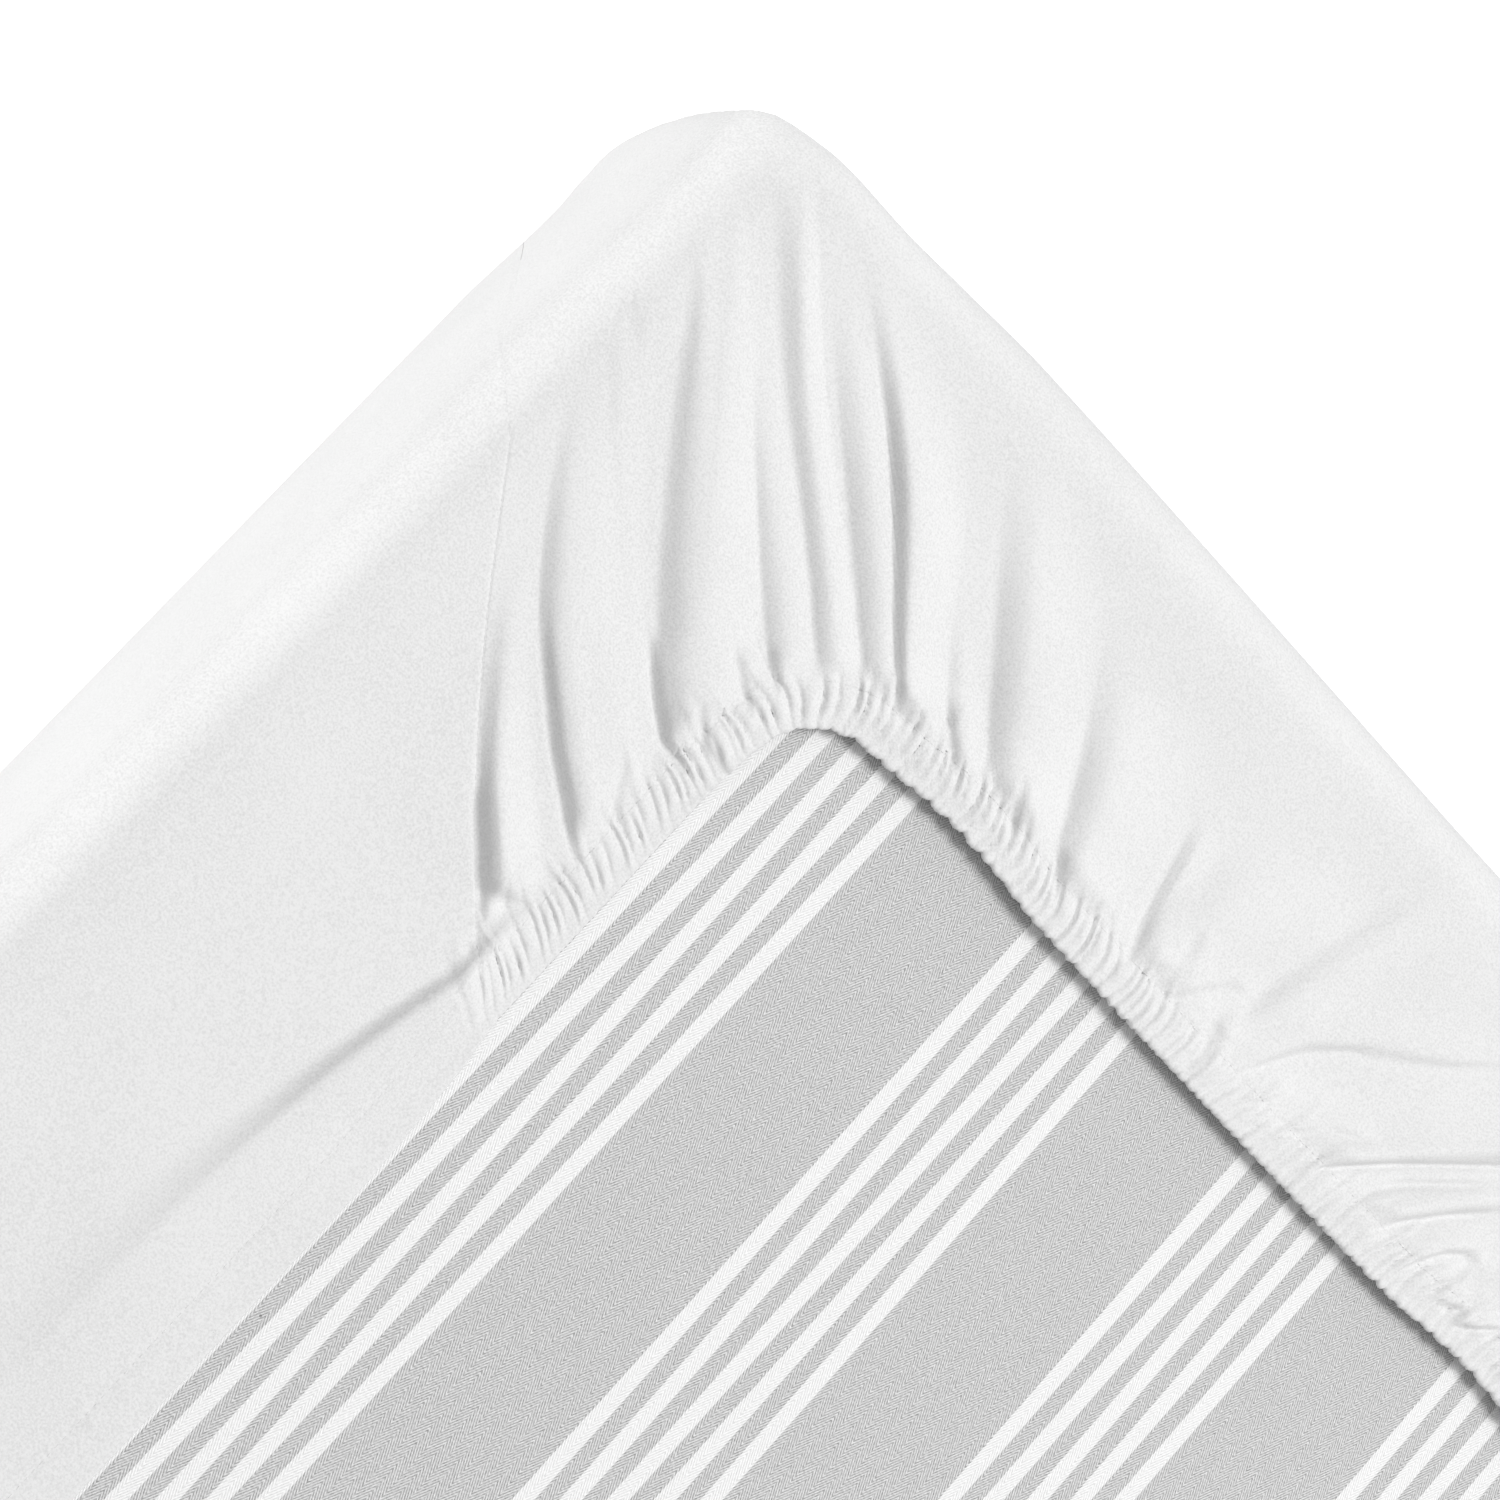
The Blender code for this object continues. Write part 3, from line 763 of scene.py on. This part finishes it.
def ringMesh(name, rows, spacing):
    points, faces, rings = [], [], []

    def addRing(ring):
        begin = sum(len(group) for group in points)
        points.append(ring)
        return range(begin, begin + len(ring))

    for row, step in zip(rows, spacing):
        rings.append(addRing(row[::step]))
    for low, high in zip(rings, rings[1:]):
        joinRings(faces, low, high)
    # the face that it rests on: rings that close in on the middle
    outer, current = rings[0], points[0]
    for scale in restingFace["rings"]:
        if len(current) > restingFace["thinPast"] and len(current) % 2 == 0:
            current = current[::2]
        current = current * (scale, scale, 1)
        inner = addRing(current)
        joinRings(faces, inner, outer)
        outer = inner
    faces.append(list(outer)[::-1])
    mesh = bpy.data.meshes.new(name)
    mesh.from_pydata(np.concatenate(points).tolist(), [], faces)
    mesh.validate()
    mesh.shade_smooth()
    return mesh


def place3d(mesh, name, material):
    made = bpy.data.objects.new(name, mesh)
    bpy.context.scene.collection.objects.link(made)
    mesh.materials.append(material)
    return made


def newMaterial(name):
    made = bpy.data.materials.new(name)
    made.use_nodes = True
    return made, made.node_tree.nodes, made.node_tree.links, made.node_tree.nodes["Principled BSDF"]


cotton = {
    "colour": (0.75, 0.75, 0.75, 1),
    "shade": (0.625, 0.625, 0.625, 1),
    "tones": (0.36, 0.74),      # values of the noise at the shade and at the colour
    "roughness": 0.88,
    "sheen": 0.12,
    "sheenRoughness": 0.5,
    "grain": 1450.0,            # grains a metre, about 0.7 mm each
    "grainDetail": 2.0,
    "grainDepth": 0.00016,
    "grainStrength": 0.5,
    "clouds": 22.0,             # wide, faint patches in a metre
    "cloudDetail": 3.0,
    "cloudShare": 0.25,
}


def noiseNode(nodes, links, where, scale, detail=2.0):
    made = nodes.new("ShaderNodeTexNoise")
    made.inputs["Scale"].default_value = scale
    made.inputs["Detail"].default_value = detail
    links.new(where, made.inputs["Vector"])
    return made.outputs["Fac"]


def addBump(nodes, links, shader, height, strength, depth):
    bump = nodes.new("ShaderNodeBump")
    bump.inputs["Strength"].default_value = strength
    bump.inputs["Distance"].default_value = depth
    links.new(height, bump.inputs["Height"])
    links.new(bump.outputs["Normal"], shader.inputs["Normal"])


def cottonMaterial():
    made, nodes, links, shader = newMaterial("white_cotton")
    shader.inputs["Roughness"].default_value = cotton["roughness"]
    shader.inputs["Sheen Weight"].default_value = cotton["sheen"]
    shader.inputs["Sheen Roughness"].default_value = cotton["sheenRoughness"]
    where = nodes.new("ShaderNodeTexCoord").outputs["Object"]
    grain = noiseNode(nodes, links, where, cotton["grain"], cotton["grainDetail"])
    cloud = noiseNode(nodes, links, where, cotton["clouds"], cotton["cloudDetail"])
    blend = nodes.new("ShaderNodeMath")
    blend.operation = "MULTIPLY_ADD"
    blend.inputs[1].default_value = cotton["cloudShare"]
    links.new(cloud, blend.inputs[0])
    links.new(grain, blend.inputs[2])
    ramp = nodes.new("ShaderNodeValToRGB")
    stops = zip(ramp.color_ramp.elements, cotton["tones"], (cotton["shade"], cotton["colour"]))
    for stop, position, colour in stops:
        stop.position = position
        stop.color = colour
    links.new(blend.outputs[0], ramp.inputs["Fac"])
    links.new(ramp.outputs["Color"], shader.inputs["Base Color"])
    addBump(nodes, links, shader, grain, cotton["grainStrength"], cotton["grainDepth"])
    return made


ticking = {
    "repeat": 0.09601,          # of the groups of stripes, in metres as all sizes of the ticking
    "firstStripe": -0.17616,    # where a group of stripes starts, across the width
    "stripePitch": 0.010416,
    "stripe": 0.0050,
    "stripes": 5,
    "grey": (0.52, 0.52, 0.52, 1),
    "white": (0.785, 0.785, 0.785, 1),
    "roughness": 0.85,
    "sheen": 0.05,
    "fuzz": 1500.0,             # fibres in a metre
    "fuzzShade": (2.0, -1.0),   # how strongly they show, and the offset that centres them
    "ragged": 0.0004,           # how far the fibres shift the stripes' edges
    "twillPitch": 0.00070,
    "twillAngle": 27.0,
    "twillUneven": 900.0,       # patches in a metre where the twill shows more or less
    "twillUnevenness": (1.6, -0.2),
    "herringbone": 0.0031,      # width of the rows between turns of the twill
    "twillShade": (0.50, 0.20),     # on the grey and on the stripes
    "bumpStrength": 0.4,
    "bumpDepth": 0.0001,
    "specks": 26.0,             # specks in each metre
    "speckSize": 0.011,
    "speckShade": -0.5,
}


def mathNode(nodes, links, operation, first, second=None, third=None):
    made = nodes.new("ShaderNodeMath")
    made.operation = operation
    for i, value in enumerate((first, second, third)):
        if value is None:
            continue
        if isinstance(value, (int, float)):
            made.inputs[i].default_value = value
        else:
            links.new(value, made.inputs[i])
    return made.outputs[0]


def tickingMaterial():
    made, nodes, links, shader = newMaterial("striped_ticking")
    shader.inputs["Roughness"].default_value = ticking["roughness"]
    shader.inputs["Sheen Weight"].default_value = ticking["sheen"]

    def work(*parts):
        return mathNode(nodes, links, *parts)

    where = nodes.new("ShaderNodeTexCoord").outputs["Object"]
    split = nodes.new("ShaderNodeSeparateXYZ")
    links.new(where, split.inputs[0])
    across, along = split.outputs["X"], split.outputs["Y"]
    fuzz = noiseNode(nodes, links, where, ticking["fuzz"])
    ragged = work("MULTIPLY_ADD", fuzz, ticking["ragged"], across)
    fromFirst = work("SUBTRACT", ragged, ticking["firstStripe"] + ticking["ragged"] / 2)
    inRepeat = work("FLOORED_MODULO", fromFirst, ticking["repeat"])
    inPitch = work("FLOORED_MODULO", inRepeat, ticking["stripePitch"])
    onStripe = work("LESS_THAN", inPitch, ticking["stripe"])
    inGroup = work("LESS_THAN", inRepeat, ticking["stripePitch"] * ticking["stripes"])
    white = work("MULTIPLY", onStripe, inGroup)
    # twill that turns from row to row
    row = work("PINGPONG", across, ticking["herringbone"])
    angle = math.radians(ticking["twillAngle"])
    slanted = work("ADD", work("MULTIPLY", row, math.cos(angle)), work("MULTIPLY", along, math.sin(angle)))
    wave = work("SINE", work("MULTIPLY", slanted, 2 * math.pi / ticking["twillPitch"]))
    uneven = noiseNode(nodes, links, where, ticking["twillUneven"])
    twill = work("MULTIPLY", wave, work("MULTIPLY_ADD", uneven, *ticking["twillUnevenness"]))
    onGrey, onWhite = ticking["twillShade"]
    mottled = work("MULTIPLY_ADD", fuzz, *ticking["fuzzShade"])
    depth = work("MULTIPLY_ADD", white, onWhite - onGrey, onGrey)
    shade = work("MULTIPLY_ADD", work("ADD", twill, mottled), depth, 1.0)
    specks = nodes.new("ShaderNodeTexVoronoi")
    specks.inputs["Scale"].default_value = ticking["specks"]
    links.new(where, specks.inputs["Vector"])
    speck = work("LESS_THAN", specks.outputs["Distance"], ticking["speckSize"])
    shade = work("MULTIPLY", shade, work("MULTIPLY_ADD", speck, ticking["speckShade"], 1.0))
    mix = nodes.new("ShaderNodeMix")
    mix.data_type = "RGBA"
    mix.inputs["A"].default_value = ticking["grey"]
    mix.inputs["B"].default_value = ticking["white"]
    links.new(white, mix.inputs["Factor"])
    tone = nodes.new("ShaderNodeVectorMath")
    tone.operation = "SCALE"
    links.new(mix.outputs["Result"], tone.inputs[0])
    links.new(shade, tone.inputs["Scale"])
    links.new(tone.outputs[0], shader.inputs["Base Color"])
    addBump(nodes, links, shader, twill, ticking["bumpStrength"], ticking["bumpDepth"])
    return made


whiteCotton = cottonMaterial()
stripedTicking = tickingMaterial()
print("materials made")

sheetRows, sheetSpacing = joinHalves()
fittedSheet = place3d(ringMesh("sheet_cloth", sheetRows, sheetSpacing), "sheet_cloth", whiteCotton)
print("sheet made:", sum(len(face.vertices) - 2 for face in fittedSheet.data.polygons), "triangles")

stitching = {
    "spacing": 2.9,
    "length": 2.2,
    "thread": 0.17,             # radius
    "sunk": 0.06,
    "sides": 5,
    "taper": ((-0.5, 0.35), (-0.25, 1.0), (0.25, 1.0), (0.5, 0.35)),    # places along a stitch and widths
    "seamStartsAt": 3,          # row of the sheet's points where the seams' stitches begin
}


def stitchPath(points, across):
    # evenly spaced stitches along a line on the cloth: middle, direction and outward normal of each
    points = np.asarray(points) / millimetre
    run = np.concatenate(([0], np.cumsum(np.linalg.norm(np.diff(points, axis=0), axis=1))))
    middles = np.arange(stitching["spacing"] / 2, run[-1], stitching["spacing"])
    half = stitching["length"] / 2

    def at(distance, values):
        return np.column_stack([np.interp(distance, run, values[:, k]) for k in range(3)])

    def unit(vectors):
        return vectors / np.linalg.norm(vectors, axis=1)[:, None]

    middle = at(middles, points)
    direction = unit(at(middles + half, points) - at(middles - half, points))
    normal = unit(np.cross(direction, at(middles, np.asarray(across))))
    upAndOut = unit(middle * (1, 1, 0)) * 0.3 + (0, 0, 1)       # tells the cloth's outer side
    return middle, direction, normal * np.sign((normal * upAndOut).sum(1))[:, None]


def addStitch(points, faces, middle, direction, normal):
    begin, sides, taper = len(points), stitching["sides"], stitching["taper"]
    across = np.cross(direction, normal)
    for share, width in taper:
        sunk = stitching["sunk"] * (3 - 2 * width)      # the ends dip into the cloth
        centre = middle + direction * share * stitching["length"] - normal * sunk
        for k in range(sides):
            turn = 2 * math.pi * k / sides
            spoke = (across * math.cos(turn) + normal * math.sin(turn)) * stitching["thread"] * width
            points.append((centre + spoke) * millimetre)
    rings = [range(begin + i * sides, begin + (i + 1) * sides) for i in range(len(taper))]
    for low, high in zip(rings, rings[1:]):
        for k in range(sides):
            after = (k + 1) % sides
            faces.append((low[k], high[k], high[after], low[after]))
    faces.append(list(rings[0]))
    faces.append(list(rings[-1])[::-1])


def stitchMesh(paths):
    points, faces = [], []
    for path in paths:
        for middle, direction, normal in zip(*path):
            addStitch(points, faces, middle, direction, normal)
    mesh = bpy.data.meshes.new("sheet_stitches")
    mesh.from_pydata([tuple(point) for point in points], [], faces)
    mesh.validate()
    mesh.shade_smooth()
    return mesh


def sheetStitches():
    # round the hem, on its stitch line, and down the four corner seams
    stitchRow = len(sheetRows) - sum(len(rowSteps[part]) for part in ("casing", "roll", "under"))
    stitchRow += rowSteps["casing"].index(casing["stitchLine"])
    paths = [stitchPath(sheetRows[stitchRow], sheetRows[stitchRow + 1] - sheetRows[stitchRow - 1])]
    grid = np.array(sheetRows[stitching["seamStartsAt"]:stitchRow])
    begin = 0
    for before, end, after in (columnCounts["near"], columnCounts["far"]):
        for column in (begin + before, begin + before + end):
            paths.append(stitchPath(grid[:, column], grid[:, column + 2] - grid[:, column - 2]))
        begin += before + end + after
    return place3d(stitchMesh(paths), "sheet_stitches", whiteCotton)


stitches = sheetStitches()
print("stitches made:", len(stitches.data.polygons), "faces")

mattress = {
    "corner": 0.044,            # plan radius of the corners, in metres as all of these
    "cornerSteps": 10,
    "edge": 0.019,
    "edgeSteps": 6,
    "edgeAngle": 40,            # edges that turn by more than this are rounded
    "endsPressedIn": 0.003,
    "fill": 0.95,
}


def mattressPiece():
    bpy.ops.mesh.primitive_cube_add(size=1.0)
    body = bpy.context.object
    body.name = body.data.name = "mattress_ticking"
    pressedIn = Vector((0, mattress["endsPressedIn"], 0))
    low, high = Vector(mattressLow) + pressedIn, Vector(mattressHigh) - pressedIn
    body.scale = high - low
    body.location = (low + high) / 2
    bpy.ops.object.transform_apply(location=True, rotation=False, scale=True)
    shape = bmesh.new()
    shape.from_mesh(body.data)
    upright = [edge for edge in shape.edges if abs(edge.verts[0].co.z - edge.verts[1].co.z) > 1e-6]
    bmesh.ops.bevel(shape, geom=upright, offset=mattress["corner"], segments=mattress["cornerSteps"],
                    profile=0.5, affect="EDGES")
    shape.to_mesh(body.data)
    shape.free()
    rounding = body.modifiers.new("edge rounding", "BEVEL")
    rounding.width = mattress["edge"]
    rounding.segments = mattress["edgeSteps"]
    rounding.limit_method = "ANGLE"
    rounding.angle_limit = math.radians(mattress["edgeAngle"])
    body.data.shade_smooth()
    body.data.materials.append(stripedTicking)
    return body


tickedMattress = mattressPiece()
print("mattress made")

for piece, node, slot in ((fittedSheet, "fitted_sheet", "white_cotton"),
                          (stitches, "fitted_sheet", "white_cotton"),
                          (tickedMattress, "mattress", "striped_ticking")):
    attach(piece, "root")
    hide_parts(node)

studio = {
    "floorSize": 60.0,
    "floor": (0.92, 0.92, 0.92, 1),
    "floorGlow": 0.60,
    "world": 0.535,
    "key": {"power": 182.0, "from": (0.29, 0.40, 0.87), "distance": 5.0, "size": (2.0, 2.0)},
    "low": {"power": 9.0, "from": (-1.0, -0.10, -0.03), "distance": 1.2, "size": (1.4, 0.10)},
    "lookAt": (-0.10, 0.42, 0.10),
}


def softBox(name, settings):
    lamp = bpy.data.lights.new(name, "AREA")
    lamp.energy = settings["power"]
    lamp.shape = "RECTANGLE"
    lamp.size, lamp.size_y = settings["size"]
    box = bpy.data.objects.new(name, lamp)
    toward = Vector(settings["from"]).normalized()
    box.location = Vector(studio["lookAt"]) + toward * settings["distance"]
    box.rotation_euler = toward.to_track_quat("Z", "Y").to_euler()
    bpy.context.scene.collection.objects.link(box)


def makeStudio():
    bpy.ops.mesh.primitive_plane_add(size=studio["floorSize"])
    ground = bpy.context.object
    ground.name = "studio_floor"
    made, _, _, shader = newMaterial("studio_floor")
    shader.inputs["Base Color"].default_value = studio["floor"]
    shader.inputs["Roughness"].default_value = 1.0
    shader.inputs["Emission Color"].default_value = (1, 1, 1, 1)
    shader.inputs["Emission Strength"].default_value = studio["floorGlow"]
    ground.data.materials.append(made)
    ground.visible_diffuse = False      # a pale floor that adds no glow of its own to the cloth
    world = bpy.data.worlds.new("soft_white")
    world.use_nodes = True
    world.node_tree.nodes["Background"].inputs["Color"].default_value = (1, 1, 1, 1)
    world.node_tree.nodes["Background"].inputs["Strength"].default_value = studio["world"]
    bpy.context.scene.world = world
    softBox("key", studio["key"])
    softBox("low", studio["low"])


makeStudio()
bpy.context.scene.view_settings.view_transform = "Standard"

camera = {
    "at": (-0.5006, 0.2392, 1.2120),        # in metres, lens and sensor in millimetres
    "degrees": (-3.597, -19.556, 45.171),
    "lens": 100.8,
    "sensor": 36.0,
}
lens = bpy.data.cameras.new("camera")
lens.lens = camera["lens"]
lens.sensor_width = camera["sensor"]
view = bpy.data.objects.new("camera", lens)
view.location = camera["at"]
view.rotation_euler = Euler([math.radians(angle) for angle in camera["degrees"]])
bpy.context.scene.collection.objects.link(view)
bpy.context.scene.camera = view
print("studio and camera set")
